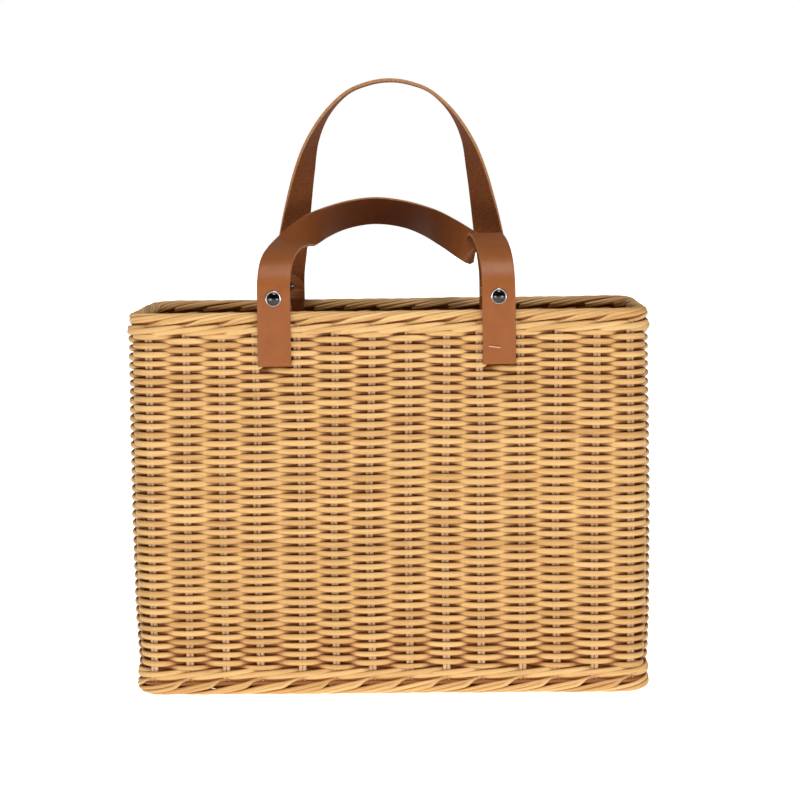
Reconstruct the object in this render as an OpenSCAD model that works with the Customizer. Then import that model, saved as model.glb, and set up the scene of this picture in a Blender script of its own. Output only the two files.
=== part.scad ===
// Rectangular willow market basket with two leather strap handles.
// X runs left to right, Y from front to back, Z up; the basket stands on z = 0.

/* [Basket] */
// Width over the side weave
body_w = 400; // [370:1:440]
// Depth over the side weave
body_d = 150; // [140:1:180]
// Height from the table to the top of the border
body_h = 296; // [280:1:320]
// Outer radius of the upright corners
corner_r = 24; // [20:1:28]
// Height of the rolled border that the basket stands on
foot_h = 11; // [8:1:12]
// Height of the waled band above the foot
upset_h = 9; // [8:1:12]
// Height of the waled band under the border
wale_h = 7.5; // [6:0.5:10]
// Height of the rolled border at the rim
border_h = 10; // [8:1:12]

/* [Rods] */
// Diameter of a stake
stake_d = 3; // [2.5:0.5:3.5]
// Diameter of a weaver
weaver_d = 3.5; // [3:0.5:4]
// Distance from one pair of stakes to the next
pair_pitch = 28.3; // [28:0.1:29]
// Height of the base sticks above the table
base_stick_z = 13; // [12:1:14]

/* [Handles] */
// Width of the leather strap
strap_w = 25; // [22:1:25]
// Thickness of the leather
strap_t = 2.5; // [2:0.5:2.5]
// How far below the rim the strap goes through the wall
slot_drop = 40; // [30:1:60]
// Height above the rim at which the strap starts to flex
flex_rise = 22; // [22:1:24]

/* [Rivets] */
// Diameter of the domed cap
cap_d = 10; // [8:0.5:11]
// Diameter of the collar under the cap
collar_d = 12; // [11:0.5:14]
// Height of a rivet above the rim
rivet_rise = 10.5; // [9:0.5:11]

/* [Hidden] */
front_pairs = 14;
end_pairs = 4;
$fn = 48;
wall_t = 2 * weaver_d + stake_d;
rod_gap = 0.1;
channel_r = stake_d / 2 + rod_gap / 3;
stake_inset = wall_t / 2;
rim_z = body_h;
strap_x = 3 * pair_pitch;
slot_ease = 1.7;
slot_w = strap_w + 0.4;
slot_h = strap_t + 0.8;
slot_z = rim_z - slot_drop;
flex_z = rim_z + flex_rise;
rivet_z = rim_z + rivet_rise;
strap_gap = 0.4;
leg_y = body_d / 2 + strap_gap + strap_t / 2;
layer_gap = 0.1;
tab_y = leg_y - strap_t - layer_gap;
inner_y = body_d / 2 - wall_t - strap_gap - strap_t / 2;
tab_end = 20;
post_r = 2;
collar_t = 0.8;
cap_h = 2.6;
back_d = 7.2;
back_t = 1.2;
hinge_room = 2.2;

SIDES = ["front", "rear"];
HANDS = ["left", "right"];
CORNERS = [for (s = SIDES) for (h = HANDS) str(s, "_", h)];
STAKES = concat(
    [for (s = SIDES) for (i = [1 : front_pairs]) str(s, "_stake_pair_", i)],
    [for (h = HANDS) for (i = [1 : end_pairs]) str(h, "_end_stake_pair_", i)]);

// The stakes beside a strap slot are pushed apart to let the strap through.
function eased(x) =
    let (from_slot = abs(x) - strap_x)
    abs(from_slot) < pair_pitch * 0.6
        ? sign(x) * (abs(x) + sign(from_slot) * slot_ease)
        : x;
function front_x(i) = eased((i - (front_pairs + 1) / 2) * pair_pitch);
function end_y(i) = (i - (end_pairs + 1) / 2) * pair_pitch;
function is_front(s) = s == "front";
function y_sign(s) = is_front(s) ? -1 : 1;
function x_sign(h) = h == "left" ? -1 : 1;

// Two rods side by side, standing along a wall that runs along X or along Y.
module pair(along_x, r = stake_d / 2) {
    step = (stake_d + rod_gap) / 2;
    for (side = [-1, 1])
        translate(along_x ? [side * step, 0] : [0, side * step]) circle(r = r);
}

module each_stake_place() {
    for (s = SIDES) for (i = [1 : front_pairs])
        translate([front_x(i), y_sign(s) * (body_d / 2 - stake_inset)]) pair(true, channel_r);
    for (h = HANDS) for (i = [1 : end_pairs])
        translate([x_sign(h) * (body_w / 2 - stake_inset), end_y(i)]) pair(false, channel_r);
}

// A rectangle with true round corners, centred on the origin.
module rounded(w, d, r) {
    square([w - 2 * r, d], center = true);
    square([w, d - 2 * r], center = true);
    for (x = [-1, 1]) for (y = [-1, 1])
        translate([x * (w / 2 - r), y * (d / 2 - r)]) circle(r = r);
}

// The plan of the wall: the weavers outside and inside of the stakes.
module wall_plan() {
    difference() {
        rounded(body_w, body_d, corner_r);
        rounded(body_w - 2 * wall_t, body_d - 2 * wall_t, corner_r - wall_t);
    }
}

// A band of weaving from one height to another, with a channel for every stake.
module woven_band(low, high) {
    translate([0, 0, low]) linear_extrude(high - low) difference() {
        wall_plan();
        each_stake_place();
    }
}

// Short sticks laid across the base in pairs, with the base woven round them.
module base_sticks() {
    color("burlywood")
    for (i = [1 : front_pairs]) for (side = [-1, 1])
        translate([front_x(i) + side * (stake_d + rod_gap) / 2, 0, base_stick_z])
            rotate([90, 0, 0]) cylinder(h = stick_length(i), d = stake_d, center = true);
}
// The sticks next to the ends stop where the corners of the base begin.
function stick_length(i) = body_d - 2 * wall_t - (i == 1 || i == front_pairs ? corner_r - wall_t : 0);

module base_weave() {
    color("peru") difference() {
        translate([0, 0, base_stick_z - wall_t / 2])
            linear_extrude(wall_t) rounded(body_w - 2 * wall_t, body_d - 2 * wall_t, corner_r - wall_t);
        for (i = [1 : front_pairs]) for (side = [-1, 1])
            translate([front_x(i) + side * (stake_d + rod_gap) / 2, 0, base_stick_z])
                rotate([90, 0, 0]) cylinder(h = body_d, r = channel_r, center = true);
    }
}

module foot_border() {
    color("sienna") linear_extrude(foot_h) wall_plan();
}

module upset_wale() {
    color("peru") woven_band(foot_h, foot_h + upset_h);
}

// The plain weave of the walls, with a slot for each of the four strap ends.
module side_weave() {
    color("sandybrown") difference() {
        woven_band(foot_h + upset_h, rim_z - border_h - wale_h);
        for (s = SIDES) for (h = HANDS)
            translate([x_sign(h) * strap_x, y_sign(s) * (body_d / 2 - wall_t / 2), slot_z])
                cube([slot_w, wall_t + 2, slot_h], center = true);
    }
}

module top_wale() {
    color("peru") woven_band(rim_z - border_h - wale_h, rim_z - border_h);
}

module top_border() {
    color("sienna") translate([0, 0, rim_z - border_h]) linear_extrude(border_h) wall_plan();
}

module stake_pair(x, y, along_x) {
    color("wheat") translate([x, y, foot_h])
        linear_extrude(rim_z - border_h - foot_h) pair(along_x);
}

// Puts a part that is drawn for the front wall, at x = 0, on one of the four corners.
module at_corner(s, h) {
    translate([x_sign(h) * strap_x, 0, 0])
        if (is_front(s)) children();
        else mirror([0, 1, 0]) children();
}

// The strap's two ends: down outside the wall, in through the slot, up inside it, and over the
// rim to a round end that lies against the outer leg, where the rivet holds the two together.
bend_r = 2;
slot_turn = [for (a = [0 : 30 : 90]) [
    -leg_y + bend_r * (1 - cos(a)), slot_z + bend_r * (1 - sin(a))]];
inner_turn = [for (a = [90 : -30 : 0]) [
    -inner_y - bend_r * (1 - cos(a)), slot_z + bend_r * (1 - sin(a))]];
loop_line = concat(
    [[-leg_y, flex_z]], slot_turn, inner_turn,
    [[-inner_y, rim_z + 1.5], [-tab_y, rim_z + 5.8], [-tab_y, rim_z + 7.6]]);

function unit(v) = v / norm(v);
function left_of(v) = [-v[1], v[0]];
function mitre(line, i) =
    let (n = len(line) - 1,
         before = left_of(unit(line[max(i, 1)] - line[max(i, 1) - 1])),
         after = left_of(unit(line[min(i, n - 1) + 1] - line[min(i, n - 1)])),
         mid = unit(before + after))
    mid / (mid * after);
function thick_outline(line, t) = concat(
    [for (i = [0 : len(line) - 1]) line[i] + mitre(line, i) * t / 2],
    [for (i = [len(line) - 1 : -1 : 0]) line[i] - mitre(line, i) * t / 2]);

module strap_loop_blank() {
    rotate([90, 0, 90]) linear_extrude(strap_w, center = true)
        polygon(thick_outline(loop_line, strap_t));
    // round end of the tab
    translate([0, -tab_y, rim_z + tab_end - strap_w / 2]) intersection() {
        rotate([90, 0, 0]) cylinder(h = strap_t, d = strap_w, center = true);
        translate([-strap_w / 2, -strap_t, 0]) cube([strap_w, 2 * strap_t, strap_w]);
    }
}

module strap_loop(s, h) {
    color("chocolate") at_corner(s, h) difference() {
        strap_loop_blank();
        translate([0, -leg_y, rivet_z]) rotate([90, 0, 0])
            cylinder(h = 4 * strap_t, r = post_r, center = true);
    }
}

// Turned parts of the rivets, drawn along +Z outwards from the strap's face.
module cap_blank() {
    through = 2 * strap_t + layer_gap + back_t;
    translate([0, 0, -through]) cylinder(h = through + collar_t, r = post_r);
    translate([0, 0, collar_t]) intersection() {
        dome_r = (pow(cap_d / 2, 2) + pow(cap_h, 2)) / (2 * cap_h);
        translate([0, 0, cap_h - dome_r]) sphere(r = dome_r);
        cylinder(h = cap_h + 1, d = cap_d);
    }
}
module collar_blank() {
    rotate_extrude() difference() {
        polygon([[post_r, 0], [collar_d / 2 - 0.3, 0], [collar_d / 2, 0.3], [collar_d / 2 - 0.4, collar_t],
                 [post_r, collar_t]]);
    }
}
module back_blank() {
    difference() {
        cylinder(h = back_t, d = back_d);
        translate([0, 0, -1]) cylinder(h = back_t + 2, r = post_r);
    }
}
module on_strap_face(s, h, y) {
    at_corner(s, h) translate([0, -y, rivet_z]) rotate([90, 0, 0]) children();
}

module rivet_cap(s, h) {
    color("dimgray") on_strap_face(s, h, leg_y + strap_t / 2) cap_blank();
}
module rivet_collars() {
    color("silver") for (s = SIDES) for (h = HANDS)
        on_strap_face(s, h, leg_y + strap_t / 2) collar_blank();
}
module rivet_backs() {
    color("silver") for (s = SIDES) for (h = HANDS)
        on_strap_face(s, h, tab_y - strap_t / 2 - back_t) back_blank();
}

// The free stretch of each handle is a flat ribbon. Its route is a list of places, each a centre
// and the way that the ribbon's width points there; a smooth curve runs through the places. They
// are measured from the middle of the line that the handle flexes about, for legs 85 mm out.
front_places = [
    [[-85, 0, 0], [1, 0, 0]],
    [[-80, 35, 14], [1, 0, 0]],
    [[-76, 72, 25], [0.97, 0.15, -0.2]],
    [[-70, 104, 32], [0.8, 0.35, -0.45]],
    [[-56, 129, 40], [0.45, 0.5, -0.75]],
    [[-36, 143, 47], [0.15, 0.5, -0.85]],
    [[-13, 148, 50], [0, 0.5, -0.87]],
    [[11, 145, 47], [-0.1, 0.5, -0.86]],
    [[32, 131, 40], [-0.3, 0.45, -0.85]],
    [[48, 105, 32], [-0.4, 0.2, -0.9]],
    [[60, 81, 25], [-0.48, 0, -0.87]],
    [[69, 73, 20], [-0.73, 0.45, -0.48]],
    [[73, 80, 24], [-1, 0.1, -0.1]],
    [[76, 73, 31], [-1, 0, 0]],
    [[78, 59, 26], [-1, 0, 0]],
    [[82, 30, 13], [-1, 0, 0]],
    [[85, 0, 0], [-1, 0, 0]]];
half_arch = [
    [[-85, 0, 0], [-1, 0, 0]],
    [[-81, 0, 27], [-0.9, -0.3, 0]],
    [[-76, -1, 57], [-0.75, -0.6, 0]],
    [[-71, -3, 82], [-0.6, -0.8, 0]],
    [[-64, -5, 107], [-0.3, -0.9, 0]],
    [[-52, -7, 129], [-0.1, -1, 0]],
    [[-35, -8, 145], [0, -1, 0]],
    [[-16, -8, 153], [0, -1, 0]]];
crown = [[[0, -8, 156], [0, -1, 0]]];
function across_x(place) = [for (v = place) [-v[0], v[1], v[2]]];
rear_places = concat(half_arch, crown,
    [for (i = [len(half_arch) - 1 : -1 : 0]) across_x(half_arch[i])]);
function route(places, y) = [for (p = places)
    [[p[0][0] * strap_x / 85, p[0][1] + y, p[0][2] + flex_z], p[1]]];

steps = 4;
// Point of a smooth curve through four neighbours a, b, c and d, between b and c.
function blend(a, b, c, d, t) =
    ((2 * b) + (c - a) * t + (2 * a - 5 * b + 4 * c - d) * t * t
     + (3 * b - a - 3 * c + d) * t * t * t) / 2;
function smooth(list) = let (n = len(list) - 1) concat(
    [for (i = [0 : n - 1]) for (k = [0 : steps - 1])
        blend(list[max(i - 1, 0)], list[i], list[i + 1], list[min(i + 2, n)], k / steps)],
    [list[n]]);
function column(list, k) = [for (p = list) p[k]];

// Four corners of the ribbon's section at each point, and the skin over them.
module ribbon(places) {
    centre = smooth(column(places, 0));
    width = smooth(column(places, 1));
    n = len(centre) - 1;
    along = [for (i = [0 : n]) unit(centre[min(i + 1, n)] - centre[max(i - 1, 0)])];
    // both ends stop short of the line that the strap flexes about
    middle = [for (i = [0 : n])
        i == 0 ? centre[0] + along[0] * hinge_room : i == n ? centre[n] - along[n] * hinge_room : centre[i]];
    // and their faces lie square across it, so that they clear the legs over the whole swing
    across = [for (i = [0 : n])
        i == 0 || i == n ? width[i] : unit(width[i] - (width[i] * along[i]) * along[i])];
    out = [for (i = [0 : n]) unit(cross(across[i], along[i]))];
    rings = [for (i = [0 : n]) for (c = [[1, 1], [-1, 1], [-1, -1], [1, -1]])
        middle[i] + across[i] * c[0] * strap_w / 2 + out[i] * c[1] * strap_t / 2];
    skin = [for (i = [0 : n - 1]) for (k = [0 : 3]) let (
        a = 4 * i + k, b = 4 * i + (k + 1) % 4, c = b + 4, d = a + 4) each [[a, d, c], [a, c, b]]];
    polyhedron(rings, concat([[0, 1, 2], [0, 2, 3]], skin,
        [[4 * n + 2, 4 * n + 1, 4 * n], [4 * n + 3, 4 * n + 2, 4 * n]]));
}

module front_strap() {
    color("chocolate") ribbon(route(front_places, -leg_y));
}
module rear_strap() {
    color("chocolate") ribbon(route(rear_places, leg_y));
}

base_sticks();
base_weave();
foot_border();
upset_wale();
side_weave();
top_wale();
top_border();
front_strap();
rear_strap();
rivet_collars();
rivet_backs();
for (s = SIDES) for (i = [1 : front_pairs])
    stake_pair(front_x(i), y_sign(s) * (body_d / 2 - stake_inset), true);
for (h = HANDS) for (i = [1 : end_pairs])
    stake_pair(x_sign(h) * (body_w / 2 - stake_inset), end_y(i), false);
for (s = SIDES) for (h = HANDS) {
    strap_loop(s, h);
    rivet_cap(s, h);
}
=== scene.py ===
"""Rectangular willow market basket with two leather strap handles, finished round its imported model."""
import bpy
import numpy as np
from mathutils import Matrix, Vector


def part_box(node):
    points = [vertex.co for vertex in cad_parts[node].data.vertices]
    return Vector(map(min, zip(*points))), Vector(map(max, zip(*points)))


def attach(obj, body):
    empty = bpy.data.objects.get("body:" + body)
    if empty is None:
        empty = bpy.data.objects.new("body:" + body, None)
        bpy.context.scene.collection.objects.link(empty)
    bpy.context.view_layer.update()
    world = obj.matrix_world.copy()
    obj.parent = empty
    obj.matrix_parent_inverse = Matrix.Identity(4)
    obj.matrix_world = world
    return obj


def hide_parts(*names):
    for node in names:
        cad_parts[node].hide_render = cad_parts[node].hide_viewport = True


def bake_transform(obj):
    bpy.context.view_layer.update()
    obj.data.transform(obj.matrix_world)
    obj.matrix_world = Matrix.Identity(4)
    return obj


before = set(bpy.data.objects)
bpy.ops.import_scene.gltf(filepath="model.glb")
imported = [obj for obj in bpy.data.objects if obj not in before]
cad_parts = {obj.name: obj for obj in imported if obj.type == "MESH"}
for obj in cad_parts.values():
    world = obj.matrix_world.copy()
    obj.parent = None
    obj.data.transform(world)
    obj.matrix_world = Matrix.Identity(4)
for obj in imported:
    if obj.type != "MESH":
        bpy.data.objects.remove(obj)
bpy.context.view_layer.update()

# ---------------------------------------------------------------- camera
# A long lens a little above the rim, a metre and a half in front of the basket, looking slightly down
# with its frame shifted by a twentieth, and leaning by under a degree.
eye = Vector((0.0486, -1.5681, 0.409))
turn, dip, lean = np.radians([-1.487, 5.741, -0.8])
forward = Vector((np.sin(turn) * np.cos(dip), np.cos(turn) * np.cos(dip), -np.sin(dip)))
level = Vector((np.cos(turn), -np.sin(turn), 0))
upright = level.cross(forward)
right = level * np.cos(lean) + upright * np.sin(lean)
camera = bpy.data.objects.new("camera", bpy.data.cameras.new("camera"))
camera.data.lens = 89.4
camera.data.shift_y = -0.05
camera.matrix_world = Matrix.Translation(eye) @ Matrix(
    (right, right.cross(forward), -forward)).transposed().to_4x4()
bpy.context.scene.collection.objects.link(camera)
bpy.context.scene.camera = camera
bpy.context.scene.view_settings.view_transform = "Standard"

# ---------------------------------------------------------------- stakes
# Thirty-six pairs of peeled willow rods stand in the wall, from the base to the rim, and everything
# else is woven round them. The willow is buff and smooth, with streaks along the rod.
mm = 0.001


def place(tree, kind, inputs=None, **settings):
    """Adds a node. A value in inputs is set on that socket, and a socket in inputs is linked to it."""
    node = tree.nodes.new(kind)
    for key, value in settings.items():
        setattr(node, key, value)
    for key, value in (inputs or {}).items():
        if isinstance(value, bpy.types.NodeSocket):
            tree.links.new(value, node.inputs[key])
        else:
            node.inputs[key].default_value = value
    return node


def scaled(tree, vector, across, along):
    """The rod coordinates, where x and y lie across the rod and z runs along it, at another scale."""
    return place(tree, "ShaderNodeMapping", {"Vector": vector, "Scale": (across, across, along)}).outputs[0]


def maths(tree, operation, *values, clamp=False):
    """One step of arithmetic on sockets and plain numbers."""
    return place(tree, "ShaderNodeMath", dict(enumerate(values)),
                 operation=operation, use_clamp=clamp).outputs[0]


def shifted(tree, value, scale, offset):
    """value * scale + offset, kept between 0 and 1."""
    return maths(tree, "MULTIPLY_ADD", value, scale, offset, clamp=True)


def stored(tree, name):
    """A value that the mesh brings for each of its points."""
    return place(tree, "ShaderNodeAttribute", attribute_name=name).outputs["Fac"]


def mixed(tree, factor, first, second, how="MIX"):
    """One colour over another by a mask."""
    node = place(tree, "ShaderNodeMix", {"Factor": factor}, data_type="RGBA", blend_type=how)
    for socket, value in zip(node.inputs[6:8], (first, second)):
        if isinstance(value, bpy.types.NodeSocket):
            tree.links.new(value, socket)
        else:
            socket.default_value = value
    return node.outputs[2]


def willow_group():
    """Peeled willow: fine streaks along the rod, slow changes of tone, a few dark bud scars, and painted
    shade where a rod lies in a gap between others.
    """
    group = bpy.data.node_groups.new("peeled_willow", "ShaderNodeTree")
    for name, kind in (("Rod", "Vector"), ("Tone", "Float"), ("PaintedLight", "Float"),
                       ("Pale", "Color"), ("Deep", "Color")):
        group.interface.new_socket(name, in_out="INPUT", socket_type="NodeSocket" + kind)
    for name, kind in (("Color", "Color"), ("Roughness", "Float"), ("Height", "Float")):
        group.interface.new_socket(name, in_out="OUTPUT", socket_type="NodeSocket" + kind)
    given = place(group, "NodeGroupInput").outputs
    streaks = place(group, "ShaderNodeTexNoise",
                    {"Vector": scaled(group, given["Rod"], 1900, 45), "Scale": 1, "Detail": 4}).outputs[0]
    slow = place(group, "ShaderNodeTexNoise",
                 {"Vector": scaled(group, given["Rod"], 160, 16), "Scale": 1, "Detail": 2}).outputs[0]
    buds = place(group, "ShaderNodeTexVoronoi",
                 {"Vector": scaled(group, given["Rod"], 260, 34), "Scale": 1}).outputs["Distance"]
    scars = shifted(group, buds, -9, 1.1)
    tone = maths(group, "ADD", slow, given["Tone"])
    tone = maths(group, "MULTIPLY_ADD", streaks, 0.55, tone)
    body = mixed(group, shifted(group, tone, 1.25, -1.05), given["Deep"], given["Pale"])
    body = mixed(group, shifted(group, scars, 0.42, 0), body, (0.22, 0.09, 0.03, 1))
    # painted shade: the colour is multiplied towards deep brown where the mesh marks the rod as lying in a
    # gap between others
    shade = mixed(group, given["PaintedLight"], (0.40, 0.20, 0.07, 1), (1, 1, 1, 1))
    body = mixed(group, 1.0, body, shade, "MULTIPLY")
    rough = maths(group, "MULTIPLY_ADD", streaks, 0.22, 0.34)
    height = maths(group, "MULTIPLY_ADD", scars, 0.5, streaks)
    place(group, "NodeGroupOutput", {"Color": body, "Roughness": rough, "Height": height})
    return group


peeled_willow = willow_group()


def new_material(name):
    """A material, with its node tree and its shader."""
    material = bpy.data.materials.new(name)
    material.use_nodes = True
    return material, material.node_tree, material.node_tree.nodes["Principled BSDF"]


def willow(name, pale, deep, lie=None):
    """A willow finish. Swept rods bring their own UV map, tone and painted shade for the gaps between
    rods; on a straight CAD rod, lie turns the object's coordinates so that z runs along it, and an even
    share of painted shade lies all over it."""
    material, tree, shader = new_material(name)
    if lie is None:
        around, along, _ = place(tree, "ShaderNodeSeparateXYZ",
                                 {0: place(tree, "ShaderNodeUVMap", uv_map="UVMap").outputs[0]}).outputs
        tone, bare = stored(tree, "tone"), stored(tree, "bare")
        # each rod lies in a part of the pattern of its own
        apart = maths(tree, "MULTIPLY", tone, 7.0)
        rod = place(tree, "ShaderNodeCombineXYZ", {0: around, 1: apart, 2: along}).outputs[0]
    else:
        rod = place(tree, "ShaderNodeMapping",
                    {0: place(tree, "ShaderNodeTexCoord").outputs["Object"], "Rotation": lie}).outputs[0]
        # painted shade: a straight CAD rod is darkened evenly all over
        tone, bare = 0.5, 0.7
    look = place(tree, "ShaderNodeGroup", node_tree=peeled_willow)
    for key, value in (("Rod", rod), ("Tone", tone), ("PaintedLight", bare), ("Pale", pale), ("Deep", deep)):
        if isinstance(value, bpy.types.NodeSocket):
            tree.links.new(value, look.inputs[key])
        else:
            look.inputs[key].default_value = value
    bump = place(tree, "ShaderNodeBump",
                 {"Height": look.outputs["Height"], "Strength": 0.35, "Distance": 0.12 * mm})
    tree.links.new(look.outputs["Color"], shader.inputs["Base Color"])
    tree.links.new(look.outputs["Roughness"], shader.inputs["Roughness"])
    tree.links.new(bump.outputs[0], shader.inputs["Normal"])
    shader.inputs["Specular IOR Level"].default_value = 0.42
    return material


def dress(name, material):
    """Gives a CAD node that keeps its shape its material."""
    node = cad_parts[name]
    node.data.materials.clear()
    node.data.materials.append(material)


stake_willow = willow("stake_willow", (0.84, 0.56, 0.33, 1), (0.64, 0.37, 0.16, 1))
stake_names = ([f"front_stake_pair_{i}" for i in range(1, 15)]
               + [f"right_end_stake_pair_{i}" for i in range(1, 5)]
               + [f"rear_stake_pair_{i}" for i in range(14, 0, -1)]
               + [f"left_end_stake_pair_{i}" for i in range(4, 0, -1)])
luck = np.random.default_rng(7)


def put_mesh(name, points, faces, uvs, **values):
    """A smooth object from an array of points, arrays of faces and of their UVs, and values per point."""
    mesh = bpy.data.meshes.new(name)
    corners = np.concatenate([f.ravel() for f in faces])
    sizes = np.concatenate([np.full(len(f), f.shape[1]) for f in faces])
    mesh.vertices.add(len(points))
    mesh.vertices.foreach_set("co", points.astype(np.float32).ravel())
    mesh.loops.add(len(corners))
    mesh.loops.foreach_set("vertex_index", corners.astype(np.int32))
    mesh.polygons.add(len(sizes))
    mesh.polygons.foreach_set("loop_start", (np.cumsum(sizes) - sizes).astype(np.int32))
    mesh.polygons.foreach_set("use_smooth", np.ones(len(sizes), bool))
    layer = mesh.uv_layers.new(name="UVMap")
    layer.data.foreach_set("uv", np.concatenate([u.reshape(-1, 2) for u in uvs]).astype(np.float32).ravel())
    for key, value in values.items():
        attribute = mesh.attributes.new(key, "FLOAT", "POINT")
        attribute.data.foreach_set("value", np.broadcast_to(value, len(points)).astype(np.float32))
    mesh.update(calc_edges=True)
    piece = bpy.data.objects.new(name, mesh)
    bpy.context.scene.collection.objects.link(piece)
    return piece


def skin(rings, sides, closed, loops):
    """Faces over `loops` tubes of rings: each square joins one side of one ring to the next, and an
    open tube has a flat face on each end. Also gives, for each corner, its ring and its side."""
    spans = rings if closed else rings - 1
    ring, side = np.meshgrid(np.arange(spans), np.arange(sides), indexing="ij")
    ring = np.stack([ring, ring, ring + 1, ring + 1], -1).reshape(-1, 4)
    side = np.stack([side, side + 1, side + 1, side], -1).reshape(-1, 4)
    shift = (np.arange(loops) * rings * sides)[:, None, None]
    faces = [((ring % rings) * sides + side % sides + shift).reshape(-1, 4)]
    places = [(np.tile(ring, (loops, 1)), np.tile(side, (loops, 1)))]
    if not closed:
        around = np.arange(sides)
        for end, order in ((0, around[::-1]), (rings - 1, around)):
            faces.append(end * sides + order + shift[:, 0])
            places.append((np.full((loops, sides), end), np.tile(order, (loops, 1))))
    return faces, places


def rods(name, centre, out, radius, closed, tone, tall=1.0, sides=10, bare=None):
    """Round rods swept along centre lines, as arrays of (rod, ring, xyz). A ring is an ellipse in the
    plane across the line: `radius` towards `out`, and `tall` times that the other way. The last argument
    paints shade: for a point and how far it faces `out`, it gives from 0, full painted shade in the gaps
    between rods, to 1, where no shade is painted."""
    loops, rings, _ = centre.shape
    if closed:
        ahead, behind = np.roll(centre, -1, 1), np.roll(centre, 1, 1)
    else:
        ahead = np.concatenate([centre[:, 1:], centre[:, -1:]], 1)
        behind = np.concatenate([centre[:, :1], centre[:, :-1]], 1)
    along = ahead - behind
    along /= np.linalg.norm(along, axis=-1, keepdims=True)
    out = out - (out * along).sum(-1, keepdims=True) * along
    out /= np.linalg.norm(out, axis=-1, keepdims=True)
    over = np.cross(along, out)
    turn = np.arange(sides) * 2 * np.pi / sides
    radius = np.broadcast_to(radius, (loops, rings))[:, :, None, None]
    points = (centre[:, :, None] + radius * np.cos(turn)[:, None] * out[:, :, None]
              + radius * tall * np.sin(turn)[:, None] * over[:, :, None])
    step = np.linalg.norm(ahead - centre, axis=-1).mean()
    faces, places = skin(rings, sides, closed, loops)
    girth = 2 * np.pi * radius.mean() / sides
    uvs = [np.stack([side * girth, ring * step], -1) for ring, side in places]
    points = points.reshape(-1, 3)
    facing = np.tile(np.cos(turn), loops * rings)
    return put_mesh(name, points, faces, uvs, tone=np.repeat(tone, rings * sides),
                    bare=1.0 if bare is None else bare(points, facing))


# the line that the stakes stand on, and the slots through which the straps pass the wall
leather_t = 2.5 * mm
weave_low, weave_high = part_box("side_weave")
slot_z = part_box("front_left_strap_loop")[0].z + leather_t / 2
wall = 10 * mm
corner_r = 19 * mm
strap_x = 84.9 * mm
half_w, half_d = weave_high.x - wall / 2, weave_high.y - wall / 2


def wall_points():
    """Points of the stake line, a rectangle with round corners, from the middle of the front towards
    +X and all the way round, each with its length along the line and the way out."""
    across, deep = half_w - corner_r, half_d - corner_r
    turn = np.linspace(0, np.pi / 2, 25)
    x, y, way = [0], [-half_d], [-np.pi / 2]
    for quarter, (cx, cy) in enumerate(((across, -deep), (across, deep), (-across, deep), (-across, -deep))):
        angle = turn + (quarter - 1) * np.pi / 2
        x = np.append(x, cx + corner_r * np.cos(angle))
        y = np.append(y, cy + corner_r * np.sin(angle))
        way = np.append(way, angle)
    x, y, way = np.append(x, 0), np.append(y, -half_d), np.append(way, 3 * np.pi / 2)
    s = np.concatenate([[0], np.cumsum(np.hypot(np.diff(x), np.diff(y)))])
    return s, x, y, way


line_s, line_x, line_y, line_way = wall_points()
girth = line_s[-1]


def nearest_s(x, y):
    """Length along the line at its point nearest to (x, y)."""
    fine = np.linspace(0, girth, 20001)
    fx, fy = np.interp(fine, line_s, line_x), np.interp(fine, line_s, line_y)
    return fine[np.argmin(np.hypot(fx - x, fy - y))]


slot_s = np.array([nearest_s(x * strap_x, y * half_d) for y in (-1, 1) for x in (-1, 1)])


def ripple(s, seed, size):
    """A slow, closed wave along the line, from a few sines that fit it a whole number of times."""
    source = np.random.default_rng(seed)
    waves, ways = source.integers(2, 17, 6), source.uniform(0, 2 * np.pi, 6)
    return size * np.sin(s[..., None] / girth * 2 * np.pi * waves + ways).sum(-1) / 2.4


def eased(value):
    """From 0 to 1 with a soft start and a soft end."""
    value = np.clip(value, 0, 1)
    return value * value * (3 - 2 * value)


def by_slot(s, width):
    """1 at a strap slot, fading out along the wall over about `width`."""
    return np.exp(-(np.min([np.abs(s % girth - at) for at in slot_s], 0) / width) ** 2)


lean_from, lean_rise, lean_size = 120 * mm, 150 * mm, 2.6 * mm
held_from, held_rise, held_width = 205 * mm, 30 * mm, 30 * mm
bow_height, bow_size, waver_size = 280 * mm, 0.9 * mm, 1.0 * mm


def drift(s, z):
    """How far the wall has moved along itself at height z, in metres: it leans the way the weaver
    worked, with slow bows of its own, but stands true where the straps pass through it."""
    up = eased((z - lean_from) / lean_rise)
    held = by_slot(s, held_width) * np.clip((z - held_from) / held_rise, 0, 1)
    bowed = ripple(s, 42, bow_size) * np.sin(np.pi * np.clip(z / bow_height, 0, 1))
    return (lean_size * up + ripple(s, 41, waver_size) * up + bowed) * (1 - held)


def on_wall(s, out, z):
    """A point at length s along the stake line, `out` from it, at height z, and the way out there."""
    at = (s + drift(s, z)) % girth
    way = np.interp(at, line_s, line_way)
    outward = np.stack([np.cos(way), np.sin(way), 0 * way], -1)
    point = np.stack([np.interp(at, line_s, line_x), np.interp(at, line_s, line_y), z + 0 * at], -1)
    return point + outward * (out + 0 * at)[..., None], outward + 0 * point


gap_depth = 1.9 * mm


def painted_gap_shade(points, facing):
    """Painted shade for the weave: none where a rod bulges from the wall to the side it faces, full
    where it lies behind the others: the distance from a rectangle with round corners, times `facing`,
    over the gaps' depth."""
    qx = np.abs(points[:, 0]) - (half_w - corner_r)
    qy = np.abs(points[:, 1]) - (half_d - corner_r)
    away = np.hypot(np.maximum(qx, 0), np.maximum(qy, 0)) + np.minimum(np.maximum(qx, qy), 0) - corner_r
    return np.clip(away * facing / gap_depth, 0, 1)


def pair_s(name):
    """Length along the line at a pair of stakes."""
    low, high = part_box(name)
    return nearest_s((low.x + high.x) / 2, (low.y + high.y) / 2)


# the pairs in order along the line, and the first again one lap on
stake_s = np.array([pair_s(name) for name in stake_names])
stake_s = np.roll(stake_s, -int(np.argmin(stake_s)))
stakes = len(stake_s)
stake_at = np.concatenate([stake_s, [stake_s[0] + girth]])
stake_r = 1.5 * mm


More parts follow.
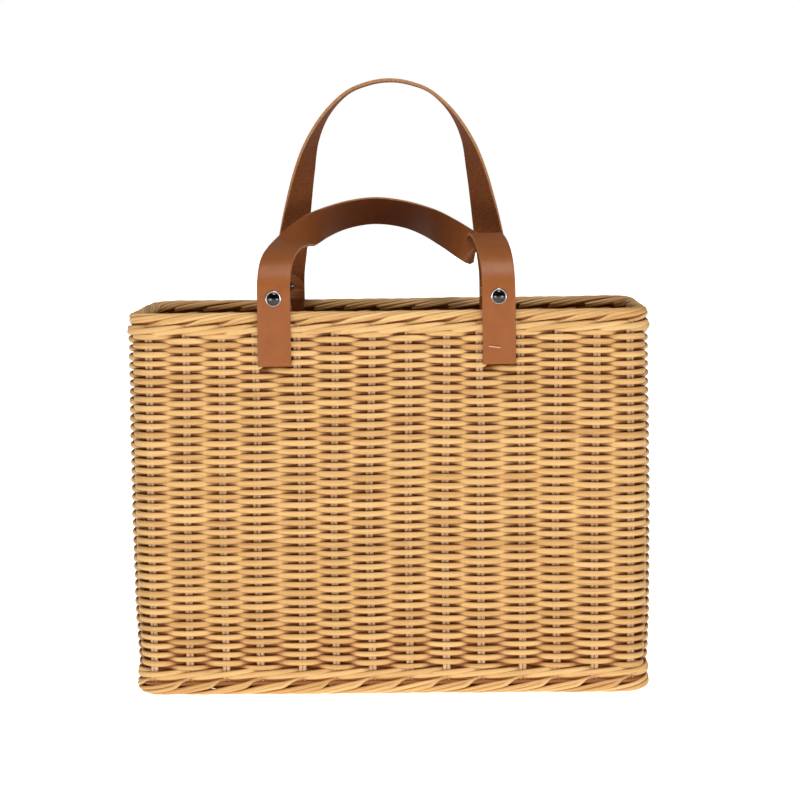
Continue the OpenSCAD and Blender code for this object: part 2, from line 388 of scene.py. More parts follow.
def stake_pairs(name, pairs):
    """The two rods of every pair, side by side along the wall, from the base to the rim."""
    centre, way = [], []
    for pair in pairs:
        low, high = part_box(pair)
        z = np.linspace(low.z, high.z, 48)
        for hand in (-1, 1):
            points, outward = on_wall(pair_s(pair) + hand * stake_r + 0 * z, 0 * z, z)
            centre.append(points)
            way.append(outward)
    tone = luck.uniform(0.3, 0.8, len(centre))
    piece = rods(name, np.array(centre), np.array(way), stake_r, False, tone)
    piece.data.materials.append(stake_willow)
    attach(piece, "basket")
    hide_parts(*pairs)


for start, stop, name in ((0, 14, "front_stakes"), (14, 18, "right_end_stakes"),
                          (18, 32, "rear_stakes"), (32, 36, "left_end_stakes")):
    stake_pairs(name, stake_names[start:stop])

# ---------------------------------------------------------------- base
# The base is woven apart from the walls: pairs of short sticks lie across it, and one long weaver
# runs to and fro over and under them. As made here, every row passes a pair on the same side.
stick_willow = willow("stick_willow", (0.84, 0.56, 0.33, 1), (0.64, 0.37, 0.16, 1), lie=(np.pi / 2, 0, 0))
dress("base_sticks", stick_willow)
weave_willow = willow("weave_willow", (0.82, 0.51, 0.20, 1), (0.56, 0.29, 0.085, 1))

weaver_r = 1.8 * mm
bow = 3.3 * mm
base_pitch = 3.42 * mm
plate_low, plate_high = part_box("base_weave")
stick_x = np.array([sum(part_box(f"front_stake_pair_{i}")[k][0] for k in (0, 1)) / 2
                    for i in range(1, 15)])
stick_z = (plate_low.z + plate_high.z) / 2
base_rows = int((plate_high.y - plate_low.y - 1 * mm) / base_pitch)
turn_reach = 2.6 * mm


def base_line():
    """The weaver's line to and fro: x runs between the outer sticks and past them into the turn, y steps
    by one row in each turn, and z swings over and under with a half wave from stick to stick."""
    spans = len(stick_x) + 1
    t = np.linspace(0, 1, spans * 8, endpoint=False)
    span = t * spans
    stop = np.concatenate([[stick_x[0] - turn_reach], stick_x, [stick_x[-1] + turn_reach]])
    x = np.interp(span, np.arange(spans + 1), stop)
    swing = np.cos(np.pi * (span - 1))
    # past the outer stick the line comes back to the middle height, where it turns
    swing *= np.clip(np.minimum(span, spans - span) * 1.6, 0, 1)
    row = np.arange(base_rows)[:, None]
    way = np.where(row % 2 == 0, 1, -1)
    # half a row's step at either end of a run
    step = np.clip((t - 0.985) / 0.03, 0, 0.5) - np.clip((0.015 - t) / 0.03, 0, 0.5)
    y = (row - (base_rows - 1) / 2 + step) * base_pitch
    z = stick_z + bow * swing * way
    return np.stack([x * way, y, z], -1).reshape(1, -1, 3)


line = base_line()
# the rows nearest the ends of the base follow its round corners
corner_room = np.clip((np.abs(line[..., 1]) - 50 * mm) / (15 * mm), 0, 1) ** 2 * 9 * mm
side_room = plate_high.x - 1.5 * mm - corner_room
line[..., 0] = np.clip(line[..., 0], -side_room, side_room)
base = rods("woven_base", line, np.array([0, 0, 1.0]), weaver_r, False, [0.5], tall=0.98, sides=8)
base.data.materials.append(weave_willow)
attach(base, "basket")
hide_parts("base_weave")

# ---------------------------------------------------------------- side weave
# Plain weave of single willow rods round the stakes: each row passes outside one pair and inside
# the next, and the row above does the opposite, so that the wall closes up like brickwork.
slot_rows = (68, 69)    # the straps pass through the wall between these two, counted from the foot
row_pitch = (slot_z - weave_low.z) / slot_rows[1]
rows = int((weave_high.z - weave_low.z) / row_pitch) + 1
steps = 10    # points from one stake to the next


def s_of(index):
    """Length along the line at a stake index, which may lie between two stakes and past the last."""
    lap = np.floor(index / stakes)
    return np.interp(index - lap * stakes, np.arange(stakes + 1), stake_at) + lap * girth


def swing(index, row):
    """In and out round the stakes: a half wave between neighbours, held flat over each pair."""
    t = index % 1
    sign = np.where((np.floor(index) + row) % 2 == 0, 1.0, -1.0)
    return sign * np.cos(np.pi * np.clip((t - 0.05) / 0.9, 0, 1))


def row_height(row):
    """Height of the middle of a row."""
    return weave_low.z + (row + 0.5) * row_pitch


def wall_swell(z):
    """The willow wall bellies out by a millimetre at mid height and draws in just above the foot."""
    t = (z - weave_low.z) / (weave_high.z - weave_low.z)
    return (1.1 * np.sin(np.pi * np.clip(t, 0, 1)) - 1.2 * np.clip(1 - t * 6, 0, 1)) * mm


def row_line(index, row):
    """Centre line of one row at each stake index, with the wall's swell and the rod's own waver. Next
    to the slots, the rows above and below them are drawn in towards the turned ones."""
    s = s_of(index)
    z = row_height(row)
    pull = np.where(row == slot_rows[0] - 1, 0.7, 0) - np.where(row == slot_rows[1] + 1, 0.7, 0)
    lift = by_slot(s, 11 * mm) * pull * mm
    out = bow * swing(index, row) * (1 + 0.05 * ripple(s, 3, 1.0)) + wall_swell(z)
    return on_wall(s, out, z + lift + ripple(s, 11, 0.22 * mm))


def row_block(name, row_list):
    """A block of whole rows, each a closed rod with a tone, a thickness and a waver of its own."""
    index = np.broadcast_to(np.arange(stakes * steps) / steps, (len(row_list), stakes * steps))
    centre, out = row_line(index, np.array(row_list)[:, None])
    for k, row in enumerate(row_list):
        centre[k, :, 2] += ripple(s_of(index[k]), 100 + row, 0.10 * mm)
    start = luck.uniform(0, 1, (len(row_list), 1))
    lap = (index / stakes + start) % 1
    taper = 1 + 0.10 * (1 - 2 * lap) * np.clip(lap * 20, 0, 1)
    radius = weaver_r * taper * luck.uniform(0.95, 1.05, (len(row_list), 1))
    piece = rods(name, centre, out, radius, True, luck.uniform(0.25, 0.75, len(row_list)), tall=1.28,
                 bare=painted_gap_shade)
    piece.data.materials.append(weave_willow)
    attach(piece, "basket")
    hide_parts("side_weave")


whole_rows = [row for row in range(rows) if row not in slot_rows]
blocks = 4
for k in range(blocks):
    lowest, past = (i * len(whole_rows) // blocks for i in (k, k + 1))
    row_block(f"side_weave_rows_{k + 1}", whole_rows[lowest:past])


def turned_rows(name, start, stop):
    """Beside each strap slot the weaver turns round the last stakes and comes back as the next row:
    one closed rod from stake `start` to stake `stop` and back again."""
    index = np.linspace(start, stop, (stop - start) * steps + 1)
    low, low_out = row_line(index, slot_rows[0])
    high, high_out = row_line(index[::-1], slot_rows[1])
    half = np.linspace(0, np.pi, 9)[1:-1]
    middle, rise = row_height(slot_rows[0] + 0.5), row_pitch / 2
    turns = []
    for stake, way, row in ((stop, 1, slot_rows[0]), (start, -1, slot_rows[1])):
        side = swing(np.array([float(stake)]), row)[0]
        s = s_of(np.array([float(stake)])) + way * (1.3 * mm + bow * np.sin(half))
        out = bow * side * np.cos(half) + wall_swell(middle)
        turns.append(on_wall(s, out, middle - way * rise * np.cos(half)))
    centre = np.concatenate([low, turns[0][0], high, turns[1][0]])[None]
    # the way out is tipped a little, so that it is never quite along the rod in a turn
    out = np.concatenate([low_out, turns[0][1], high_out, turns[1][1]])[None] + np.array([0, 0, 1e-6])
    piece = rods(name, centre, out, weaver_r, True, [luck.uniform(0.3, 0.7)], tall=1.2, bare=painted_gap_shade)
    piece.data.materials.append(weave_willow)
    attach(piece, "basket")
    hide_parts("side_weave")


beside = [int(np.searchsorted(stake_s, s)) for s in sorted(slot_s)]
for k in range(4):
    begin, end = beside[k], beside[(k + 1) % 4] - 1 + (stakes if k == 3 else 0)
    turned_rows(f"rows_turned_at_slots_{k + 1}", begin, end)

# ---------------------------------------------------------------- waled bands
# Three rods wind round the stakes together at the foot and under the rim: each passes in front of
# two pairs and behind one, climbing as it goes, and that makes a rope-like slanting band.
band_willow = willow("band_willow", (0.83, 0.52, 0.21, 1), (0.57, 0.30, 0.09, 1))


def waled_band(name, node, middle, climb, seed):
    """Three closed rods, each one stake behind the last. Outside, a rod climbs with an even slope over
    two thirds of its stroke; it crosses inside in the last third and drops back there."""
    index = np.arange(stakes * steps) / steps
    share = ((index[None] + np.arange(3)[:, None]) / 3) % 1
    lift = np.cos(2 * np.pi * (share - 1 / 3)) + 0.5
    out = np.where(lift > 0, 1 - (1 - np.clip(lift / 1.1, 0, 1)) ** 2, lift / 0.5) * bow
    out += np.where(lift > 0, 0.5 * mm * np.cos(share * 3 * np.pi / 2), 0)
    rise = np.where(share < 2 / 3, share * 1.5 - 0.5, 0.5 - 3 * (share - 2 / 3))
    s = s_of(index)
    centre, way = on_wall(s + 0 * share, out + wall_swell(middle), middle + climb * rise)
    centre[..., 2] += ripple(s, seed, 0.2 * mm)
    piece = rods(name, centre, way, weaver_r * 1.04, True, luck.uniform(0.35, 0.8, 3), tall=1.28,
                 bare=painted_gap_shade)
    piece.data.materials.append(band_willow)
    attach(piece, "basket")
    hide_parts(node)


low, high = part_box("upset_wale")
waled_band("foot_waling", "upset_wale", (low.z + high.z) / 2 + 0.9 * mm, 5.6 * mm, 21)
low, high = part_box("top_wale")
waled_band("rim_waling", "top_wale", (low.z + high.z) / 2 + 0.5 * mm, 5.4 * mm, 22)

# ---------------------------------------------------------------- rolled borders
# At the rim and the foot, the ends of each pair of stakes bend over, lie along the wall past three
# neighbours and wind once over the edge to the inside, where they are cut off.
first_turn, winding, twin_turn = -60, 285, -34
stroke, bend_over = 3.8, 0.5
twin_gap = 3.1 * mm
filling_r = 1.9 * mm


def rolled_border(name, node, sense, above, reach, inset, seed):
    """Each rod starts in its stake, joins a winding course round the border's middle line from low
    outside, over the edge, to inside, and lies beside its twin. sense is 1 at the rim and -1 at the foot.
    The course is an ellipse, `reach` wide each way, and t is 0 to 1 along a rod, `stroke` stakes long."""
    low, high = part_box(node)
    top = high.z + above
    middle, half = (low.z + top) / 2, (top - low.z) / 2 - weaver_r * 0.9
    t = np.linspace(0, 1, 46)[None, :]
    stake = np.repeat(np.arange(stakes), 2)[:, None]
    twin = np.tile([-0.5, 0.5], stakes)[:, None]
    source = np.random.default_rng(seed)
    waver = source.normal(0, 1, (2 * stakes, 3))
    turn = np.radians(first_turn + winding * t + twin * twin_turn + waver[:, :1] * 3)
    out, rise = reach * np.cos(turn) - inset, half * np.sin(turn)
    join = eased(t * stroke / bend_over)
    out = out * join
    rise = rise * join + (1 - join) * -1.4 * half
    index = stake + sense * (t * stroke + 0.05 * waver[:, 1:2] * t)
    s = s_of(index) + twin * twin_gap * (1 - join)
    centre, way = on_wall(s, out, middle + sense * rise)
    centre[..., 2] += ripple(s, seed, 0.15 * mm)
    radius = weaver_r * (0.88 + 0.04 * waver[:, 2:3]) * (1.04 - 0.12 * t)
    outward = way * np.cos(turn)[..., None] + np.array([0, 0, sense]) * np.sin(turn)[..., None]
    # painted shade on the side of each rod that faces the middle of the roll
    piece = rods(name, centre, outward, radius, False, source.uniform(0.2, 0.9, 2 * stakes),
                 bare=lambda points, facing: np.clip(facing * 1.5 + 0.1, 0, 1))
    piece.data.materials.append(band_willow)
    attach(piece, "basket")
    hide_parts(node)
    return middle, source


def border_filling(name, node, sense, middle, courses, source):
    """Inside the border, the cut-off lengths lie along the wall and fill it up: a closed rod for each
    (out, up) of the courses, in millimetres from the border's middle line."""
    s = np.arange(stakes * 8) / (stakes * 8) * girth
    out, rise = np.split(np.array(courses) * mm, 2, axis=1)
    centre, way = on_wall(s + 0 * out, out + 0 * s, middle + sense * rise + 0 * s)
    # painted shade: the fillings lie deep in the border and are darkened nearly fully
    piece = rods(name, centre, way, filling_r, True, source.uniform(0.1, 0.5, len(courses)),
                 bare=lambda points, facing: 0.1)
    piece.data.materials.append(band_willow)
    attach(piece, "basket")
    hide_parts(node)


foot_courses = [(-1.8, -2.9), (0.9, -3.0), (-0.4, -5.9)]
rim_courses = [(-1.7, 1.3), (0.3, 1.4), (-1.7, -1.2), (0.3, -1.2), (-0.4, -4.8)]
middle, source = rolled_border("rolled_foot", "foot_border", -1, 1 * mm, 3.6 * mm, 0.5 * mm, 31)
border_filling("rolled_foot_filling", "foot_border", -1, middle, foot_courses, source)
middle, source = rolled_border("rolled_rim", "top_border", 1, 0, 3.3 * mm, 0.9 * mm, 32)
border_filling("rolled_rim_filling", "top_border", 1, middle, rim_courses, source)

# ---------------------------------------------------------------- leather handles
# Each handle is one strap of thick vegetable-tanned leather. Both ends pass in through a slot, run up
# inside the wall and over the rim, and end in a rounded tab riveted to the strap's own flesh side.
strap_half = 12.5 * mm
flex_z = 318 * mm
leg_y = 76.65 * mm
scratch_at, scratch_slant = (0.0816, -0.079, 0.2692), np.radians(8)


def near(tree, value, centre, half, soft):
    """1 where the value lies within half of the centre, falling to 0 over the last `soft` of it."""
    away = maths(tree, "ABSOLUTE", maths(tree, "ADD", value, -centre))
    return shifted(tree, away, -1 / soft, half / soft)


def leather():
    """Grain side smooth and red-brown, with painted shade over the middle of the handle, flesh side
    darker and fibrous, cut edges pale. The strap brings masks for the flesh side, the cut edges and the
    painted shade, and UVs in metres: u across, v along."""
    material, tree, shader = new_material("strap_leather")
    uv = place(tree, "ShaderNodeUVMap", uv_map="UVMap").outputs[0]
    edge, flesh, grip = stored(tree, "edge"), stored(tree, "flesh"), stored(tree, "grip")
    clouds = place(tree, "ShaderNodeTexNoise", {"Vector": uv, "Scale": 90, "Detail": 4}).outputs[0]
    pores = place(tree, "ShaderNodeTexNoise", {"Vector": uv, "Scale": 2600, "Detail": 2}).outputs[0]
    creases = place(tree, "ShaderNodeTexVoronoi", {"Vector": uv, "Scale": 1500},
                    feature="DISTANCE_TO_EDGE").outputs[0]
    fibres = place(tree, "ShaderNodeTexNoise",
                   {"Vector": uv, "Scale": 700, "Detail": 6, "Distortion": 0.6}).outputs[0]
    grain = mixed(tree, shifted(tree, clouds, 1.6, -0.3), (0.29, 0.084, 0.017, 1), (0.36, 0.112, 0.026, 1))
    grain = mixed(tree, shifted(tree, pores, 1.4, -0.5), grain, (0.23, 0.062, 0.011, 1))
    # painted shade: the grain darkens to near black-brown over the middle of each handle
    grain = mixed(tree, shifted(tree, grip, 0.9, 0), grain, (0.075, 0.014, 0.001, 1))
    back = mixed(tree, shifted(tree, fibres, 2.6, -0.85), (0.13, 0.030, 0.004, 1), (0.25, 0.072, 0.012, 1))
    cut = mixed(tree, shifted(tree, fibres, 2.0, -0.5), (0.34, 0.14, 0.05, 1), (0.48, 0.24, 0.10, 1))
    body = mixed(tree, flesh, grain, back)
    body = mixed(tree, edge, body, cut)
    # one old scratch, across the right-hand leg: a dark groove with a pale burr under it
    at = place(tree, "ShaderNodeTexCoord").outputs["Object"]
    at = place(tree, "ShaderNodeMapping",
               {"Vector": at, "Location": scratch_at, "Rotation": (0, scratch_slant, 0)},
               vector_type="TEXTURE").outputs[0]
    across, deep, up = place(tree, "ShaderNodeSeparateXYZ", {0: at}).outputs
    reach = maths(tree, "MULTIPLY", near(tree, across, 0, 4.6 * mm, 0.5 * mm),
                  near(tree, deep, 0, 1.6 * mm, 0.2 * mm))
    groove = maths(tree, "MULTIPLY", reach, near(tree, up, 0, 0.5 * mm, 0.3 * mm))
    burr = maths(tree, "MULTIPLY", reach, near(tree, up, -1.0 * mm, 0.5 * mm, 0.3 * mm))
    body = mixed(tree, groove, body, (0.16, 0.045, 0.012, 1))
    body = mixed(tree, burr, body, (0.72, 0.42, 0.26, 1))
    tree.links.new(body, shader.inputs["Base Color"])
    rough = mixed(tree, flesh, (0.44, 0.44, 0.44, 1), (0.85, 0.85, 0.85, 1))
    rough = mixed(tree, edge, rough, (0.7, 0.7, 0.7, 1))
    tree.links.new(rough, shader.inputs["Roughness"])
    relief = maths(tree, "MULTIPLY_ADD", creases, 0.5, maths(tree, "MULTIPLY", fibres, flesh))
    bump = place(tree, "ShaderNodeBump", {"Height": relief, "Strength": 0.35, "Distance": 0.25 * mm})
    tree.links.new(bump.outputs[0], shader.inputs["Normal"])
    shader.inputs["Specular IOR Level"].default_value = 0.32
    return material


strap_leather = leather()


def through(points, steps):
    """A smooth curve through every point, each span a cubic led by the points before and after it."""
    p = np.array(points, float)
    before, after = np.vstack([p[:1], p[:-1]]), np.vstack([p[1:], p[-1:]])
    a, b, c, d = (q[:, None] for q in (before[:-1], p[:-1], p[1:], after[1:]))
    t = (np.arange(steps) / steps)[None, :, None]
    curve = (2 * b + (c - a) * t + (2 * a - 5 * b + 4 * c - d) * t ** 2
             + (3 * b - a - 3 * c + d) * t ** 3) / 2
    return np.vstack([curve.reshape(-1, p.shape[1]), p[-1:]])


def rounded(points, radii, step):
    """A line of straight stretches whose corners are arcs that touch both sides, in even steps."""
    p = np.array(points, float)
    out = [p[:1]]
    for before, corner, after, radius in zip(p[:-2], p[1:-1], p[2:], radii):
        a = (before - corner) / np.linalg.norm(before - corner)
        b = (after - corner) / np.linalg.norm(after - corner)
        half = np.arccos(np.clip(a @ b, -1, 1)) / 2
        centre = corner + (a + b) / np.linalg.norm(a + b) * radius / np.sin(half)
        start, stop = corner + a * radius / np.tan(half), corner + b * radius / np.tan(half)
        t = np.linspace(0, 1, 9)[:, None]
        chord = (start - centre) * (1 - t) + (stop - centre) * t
        out.append(centre + chord / np.linalg.norm(chord, axis=1, keepdims=True) * radius)
    out.append(p[-1:])
    return evened(np.vstack(out), step)


def evened(line, step):
    """The same line with points at even lengths along it."""
    at = np.concatenate([[0], np.cumsum(np.linalg.norm(np.diff(line[:, :3], axis=0), axis=1))])
    want = np.linspace(0, at[-1], max(2, int(at[-1] / step) + 1))
    return np.stack([np.interp(want, at, line[:, k]) for k in range(line.shape[1])], -1)


# Places along the free stretches, in millimetres from the middle of the flex line, and the way of the
# strap's width at each. The front handle has slumped back over the opening; the rear one stands up.
place_x = 85
front_places = [
    [-85, 0, 0, 1, 0, 0], [-84, 7, 12, 1, 0, 0], [-82, 21, 20, 1, 0, 0], [-79, 42, 25, 1, 0.05, -0.05],
    [-76, 72, 28, 0.97, 0.15, -0.2],
    [-70, 104, 32, 0.8, 0.35, -0.45], [-56, 129, 40, 0.45, 0.5, -0.75], [-36, 143, 47, 0.15, 0.5, -0.85],
    [-13, 148, 50, 0, 0.5, -0.87], [11, 145, 47, -0.1, 0.5, -0.86], [32, 131, 40, -0.3, 0.45, -0.85],
    [48, 105, 32, -0.4, 0.2, -0.9], [60, 81, 25, -0.48, 0, -0.87], [69, 73, 20, -0.73, 0.45, -0.48],
    [73, 80, 24, -1, 0.1, -0.1], [76, 74, 32, -1, 0, 0],
    [79, 50, 30, -1, 0, 0], [82, 25, 23, -1, 0, 0], [84, 8, 13, -1, 0, 0], [85, 0, 0, -1, 0, 0]]
half_arch = [
    [-85, 0, 0, -1, 0, 0], [-81, 0, 27, -0.9, -0.3, 0], [-76, -1, 57, -0.75, -0.6, 0],
    [-71, -3, 82, -0.6, -0.8, 0], [-64, -5, 107, -0.3, -0.9, 0], [-52, -7, 129, -0.1, -1, 0],
    [-35, -8, 146, 0, -1, 0], [-17, -8, 153.6, 0, -1, 0]]
mirror = np.array([-1, 1, 1, -1, 1, 1])
rear_places = half_arch + [[0, -8, 156, 0, -1, 0]] + [list(np.array(p) * mirror) for p in half_arch[::-1]]


def strap_course(places, side):
    """Centre and width direction all along one strap, from tab to tab. side is -1 in front, 1 behind.
    The ends lie in the plane across the wall; the free stretch runs through its places."""
    y = side * np.array([74.05, 74.05, 63.7, 63.35, 76.65, 76.65])
    z = np.array([316, 302.3, 297.6, 256, 256, 318])
    end = rounded(np.stack([0 * y, y, z], -1), (3.5, 3, 2, 2), 1.0) * mm
    free = evened(through(places, 12), 1.2)
    centre = free[:, :3] * [strap_x / mm / place_x, 1, 1] * mm + [0, side * leg_y, flex_z]
    wide = free[:, 3:]
    left, right = end + [-strap_x, 0, 0], end[::-1] + [strap_x, 0, 0]
    line = np.vstack([left[:-1], centre, right[1:]])
    left_wide, right_wide = (np.tile([way, 0, 0], (len(end) - 1, 1)) for way in (-side, side))
    wide = np.vstack([left_wide, wide, right_wide])
    return line, wide, len(left) - 1, len(left) + len(centre) - 2


def softened(line, at, reach):
    """Rounds the line near a point number by a running mean that fades out with distance."""
    kernel = np.exp(-np.linspace(-2, 2, 2 * reach + 1) ** 2)
    kernel /= kernel.sum()
    padded = np.pad(line, ((reach, reach), (0, 0)), mode="edge")
    mean = np.stack([np.convolve(padded[:, k], kernel, "valid") for k in range(line.shape[1])], -1)
    share = np.clip(1.6 - np.abs(np.arange(len(line)) - at) / reach, 0, 1)[:, None]
    return line * (1 - share) + mean * share


def strap_profile():
    """Section of the leather, from the left edge of the grain side round to the left edge again: across
    and out, in metres, with masks for the cut edge and for the flesh side."""
    h, r = leather_t / 2, 0.55 * mm
    flat = np.linspace(-1, 1, 13) * (strap_half - r)
    quarter = np.radians([22.5, 45, 67.5])
    right_x = strap_half - r + r * np.sin(np.concatenate([quarter, [np.pi / 2, np.pi / 2], quarter[::-1]]))
    shoulder = h - r + r * np.cos(quarter)
    right_z = np.concatenate([shoulder, [h - r, r - h], -shoulder[::-1]])
    x = np.concatenate([flat, right_x, flat[::-1], -right_x[::-1]])
    z = np.concatenate([0 * flat + h, right_z, 0 * flat - h, right_z[::-1]])
    cut = np.array([0, 0.5, 1, 1, 1, 1, 0.7, 0.4])
    edge = np.concatenate([0 * flat, cut, 0 * flat, cut[::-1]])
    flesh = np.concatenate([0 * flat, 0 * right_z + 0.5, 0 * flat + 1, 0 * right_z + 0.5])
    return x, z, edge, flesh


def strap(name, places, side, nodes):
    """Sweeps the section along the course. The tab's outline is a half circle. The mask of painted shade
    is 1 at the middle of the strap, where the crown of the handle lies in shade, and fades out towards
    both ends."""
    line, wide, flex_a, flex_b = strap_course(places, side)
    for flex in (flex_a, flex_b):
        line = softened(line, flex, 17)
    along = np.gradient(line, axis=0)
    along /= np.linalg.norm(along, axis=1, keepdims=True)
    wide = wide - (wide * along).sum(1, keepdims=True) * along
    wide /= np.linalg.norm(wide, axis=1, keepdims=True)
    out = np.cross(wide, along)
    run = np.concatenate([[0], np.cumsum(np.linalg.norm(np.diff(line, axis=0), axis=1))])
    from_end = np.minimum(run, run[-1] - run) + 0.1 * mm
    share = np.sqrt(np.clip(1 - (1 - np.clip(from_end / strap_half, 0, 1)) ** 2, 0, 1))
    x, z, edge, flesh = strap_profile()
    points = (line[:, None] + x[None, :, None] * share[:, None, None] * wide[:, None]
              + z[None, :, None] * out[:, None])
    rings, sides = len(line), len(x)
    faces, corner_places = skin(rings, sides, False, 1)
    uvs = [np.stack([np.append(x, x[0])[s], run[r % rings]], -1) for r, s in corner_places]
    # painted shade over the middle of each strap, where its crown hangs, reaching further on the front
    # handle
    grip_reach = (170 if side < 0 else 150) * mm
    grip = eased(1 - np.abs(run - run[-1] / 2) / grip_reach)
    piece = put_mesh(name, points.reshape(-1, 3), faces, uvs, edge=np.tile(edge, rings),
                     flesh=np.tile(flesh, rings), grip=np.repeat(grip, sides))
    piece.data.materials.append(strap_leather)
    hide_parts(*nodes)
    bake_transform(piece)
    return piece


strap("front_handle_strap", front_places, -1,
      ("front_strap", "front_left_strap_loop", "front_right_strap_loop"))
strap("rear_handle_strap", rear_places, 1,
      ("rear_strap", "rear_left_strap_loop", "rear_right_strap_loop"))

# ---------------------------------------------------------------- rivets
# One hammered rivet holds each tab: a domed cap in a turned collar outside, and a small washer with
# the spread end of the shank inside. All are nickel-plated; the domes' nickel is made near black as a
# painted dark reflection, and the washers' nickel is darkened as painted shade.
def nickel(name, dull, bright):
    """Polished nickel plate with a few dull spots."""
    material, tree, shader = new_material(name)
    at = place(tree, "ShaderNodeTexCoord").outputs["Object"]
    spots = place(tree, "ShaderNodeTexNoise", {"Vector": at, "Scale": 900, "Detail": 3}).outputs[0]
    body = mixed(tree, shifted(tree, spots, 1.5, -0.4), dull, bright)
    tree.links.new(body, shader.inputs["Base Color"])
    tree.links.new(maths(tree, "MULTIPLY_ADD", spots, 0.14, 0.05), shader.inputs["Roughness"])
    shader.inputs["Metallic"].default_value = 1.0
    return material


# painted reflection: the domes' nickel is made near black, for the dark room they mirror
dome_nickel_painted_dark = nickel("dome_nickel_painted_dark", (0.05, 0.048, 0.046, 1), (0.09, 0.085, 0.08, 1))
ring_nickel = nickel("ring_nickel", (0.50, 0.50, 0.51, 1), (0.72, 0.71, 0.70, 1))
# painted shade: the washers inside the wall get a darker copy of the nickel
washer_nickel_painted_shade = nickel("washer_nickel_painted_shade", (0.22, 0.21, 0.20, 1), (0.36, 0.35, 0.33, 1))


rivet_sides = 48
back_y = 72.8 * mm


def turned(profile, middle, out):
    """A turned piece: its profile of (radius, height) goes once round the line through middle towards
    out. The profile starts and ends on that line, or closes on itself for a ring."""
    profile = np.array(profile, float) * mm
    angle = np.arange(rivet_sides) * 2 * np.pi / rivet_sides
    across, up = np.array([1.0, 0, 0]), np.array([0, 0, 1.0])
    if np.cross(across, up) @ np.array(out) < 0:
        across = -across
    ring = np.cos(angle)[:, None] * across + np.sin(angle)[:, None] * up
    return (np.array(middle) + profile[:, 0, None, None] * ring
            + profile[:, 1, None, None] * np.array(out, float))


def ring_faces(count, sides, closed):
    """Squares between neighbouring circles of a turned piece, facing out."""
    spans = count if closed else count - 1
    ring, side = np.meshgrid(np.arange(spans), np.arange(sides), indexing="ij")
    this, after = ring * sides, ((ring + 1) % count) * sides
    left, right = side, (side + 1) % sides
    return np.stack([this + left, after + left, after + right, this + right], -1).reshape(-1, 4)


def arc(cx, cy, r, start, stop, count):
    """Points of a profile along an arc round (cx, cy), between two angles in degrees."""
    return [(cx + r * np.cos(a), cy + r * np.sin(a)) for a in np.radians(np.linspace(start, stop, count))]


cap_profile = ([(0.02, -0.6), (1.9, -0.6), (4.1, 0.2)] + arc(4.55, 0.75, 0.38, -90, 20, 5)
               + [(4.92 * np.cos(a), 0.85 + 2.45 * np.sin(a)) for a in np.radians(np.linspace(8, 89.5, 16))])
collar_profile = (arc(5.5, 0.42, 0.42, -90, 110, 9) + arc(4.9, 0.45, 0.3, 60, 180, 5) + [(4.2, 0.0)])
back_profile = ([(0.02, 1.1), (0.8, 1.12)] + arc(1.5, 0.8, 0.35, 90, 0, 5) + [(1.95, 0.55)]
                + arc(3.45, 0.3, 0.28, 90, -60, 6) + [(3.3, 0.0), (0.02, 0.0)])


def rivet_piece(name, profile, places, closed, node, material):
    """One turned piece, or several alike in one mesh."""
    points, faces, uvs = [], [], []
    for middle, out in places:
        quads = ring_faces(len(profile), rivet_sides, closed) + len(points) * len(profile) * rivet_sides
        points.append(turned(profile, middle, out).reshape(-1, 3))
        faces.append(quads)
        uvs.append(np.zeros((len(quads), 4, 2)))
    piece = put_mesh(name, np.vstack(points), faces, uvs)
    piece.data.materials.append(material)
    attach(piece, "basket")
    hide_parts(node)


collar_places, back_places = [], []
for end, side in (("front", -1), ("rear", 1)):
    for hand, x in (("left", -strap_x), ("right", strap_x)):
        low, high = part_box(f"{end}_{hand}_rivet_cap")
        z = (low.z + high.z) / 2
        face = (x, side * (leg_y + leather_t / 2), z)
        rivet_piece(f"{end}_{hand}_rivet_dome", cap_profile, [(face, (0, side, 0))], False,
                    f"{end}_{hand}_rivet_cap", dome_nickel_painted_dark)
        collar_places.append((face, (0, side, 0)))
        back_places.append(((x, side * back_y, z), (0, -side, 0)))
rivet_piece("rivet_rings", collar_profile, collar_places, True, "rivet_collars", ring_nickel)
rivet_piece("rivet_washers", back_profile, back_places, False, "rivet_backs", washer_nickel_painted_shade)

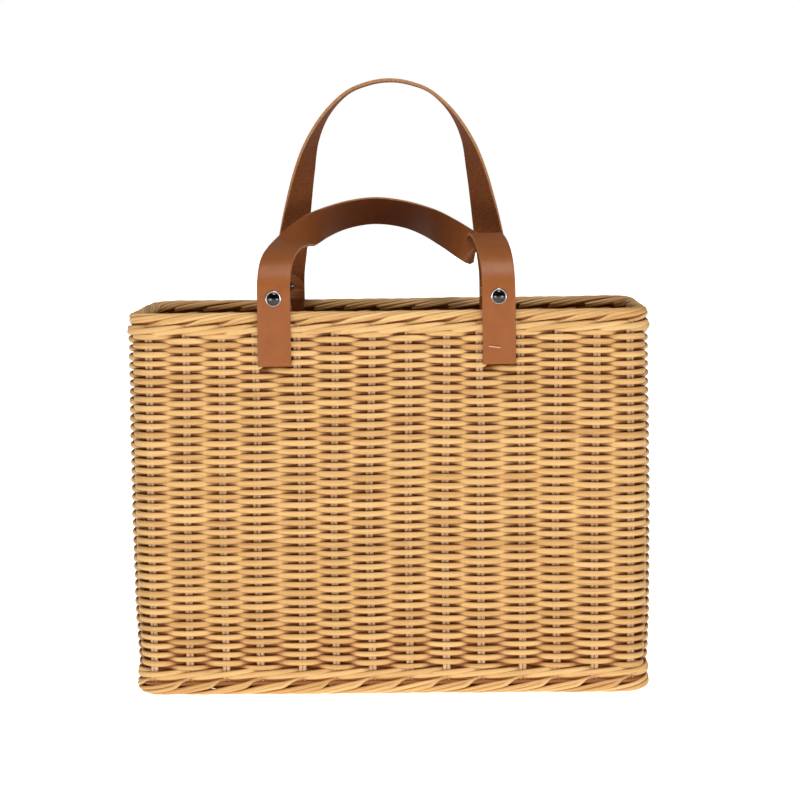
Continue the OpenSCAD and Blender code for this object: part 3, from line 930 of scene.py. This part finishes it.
# ---------------------------------------------------------------- floor and light
# A plain white floor, two low soft boxes in front and one above, and a dim surround that looks white
# to the camera and is darkest behind it, so that polished metal has something dark to mirror.
floor_mesh = bpy.data.meshes.new("floor")
floor_mesh.from_pydata([(-8, -8, 0), (8, -8, 0), (8, 8, 0), (-8, 8, 0)], [], [(0, 1, 2, 3)])
floor = bpy.data.objects.new("floor", floor_mesh)
bpy.context.scene.collection.objects.link(floor)
paint, tree, shader = new_material("floor_paint")
shader.inputs["Base Color"].default_value = (0.85, 0.85, 0.85, 1)
shader.inputs["Roughness"].default_value = 0.8
shader.inputs["Emission Color"].default_value = (1, 1, 1, 1)
seen = place(tree, "ShaderNodeLightPath").outputs["Is Camera Ray"]
tree.links.new(maths(tree, "MULTIPLY_ADD", seen, 0.6, 0.75), shader.inputs["Emission Strength"])
floor_mesh.materials.append(paint)


def soft_box(name, at, aim, size, power):
    """A rectangular area light at a place, aimed at a point."""
    lamp = bpy.data.lights.new(name, "AREA")
    lamp.shape = "RECTANGLE"
    lamp.size, lamp.size_y = size
    lamp.energy = power
    thing = bpy.data.objects.new(name, lamp)
    thing.location = at
    thing.rotation_euler = (Vector(aim) - Vector(at)).to_track_quat("-Z", "Y").to_euler()
    bpy.context.scene.collection.objects.link(thing)


for side in (-1, 1):
    soft_box(f"low_box_{side + 2}", (side * 0.75, -1.05, 0.05), (side * 0.05, 0, 0.22), (0.7, 0.5), 6.6)
soft_box("top_box", (0.1, -0.75, 1.75), (0, 0, 0.2), (0.7, 0.7), 15)

world = bpy.data.worlds.new("surround")
world.use_nodes = True
tree = world.node_tree
shine = tree.nodes["Background"]
direction = place(tree, "ShaderNodeTexCoord").outputs["Generated"]
ahead = place(tree, "ShaderNodeSeparateXYZ", {0: direction}).outputs[1]
behind_camera = shifted(tree, ahead, -2.2, -0.7)
dim = mixed(tree, behind_camera, (0.16, 0.16, 0.16, 1), (0.05, 0.05, 0.05, 1))
seen = place(tree, "ShaderNodeLightPath").outputs["Is Camera Ray"]
tree.links.new(mixed(tree, seen, dim, (1, 1, 1, 1)), shine.inputs["Color"])
shine.inputs["Strength"].default_value = 1.0
bpy.context.scene.world = world
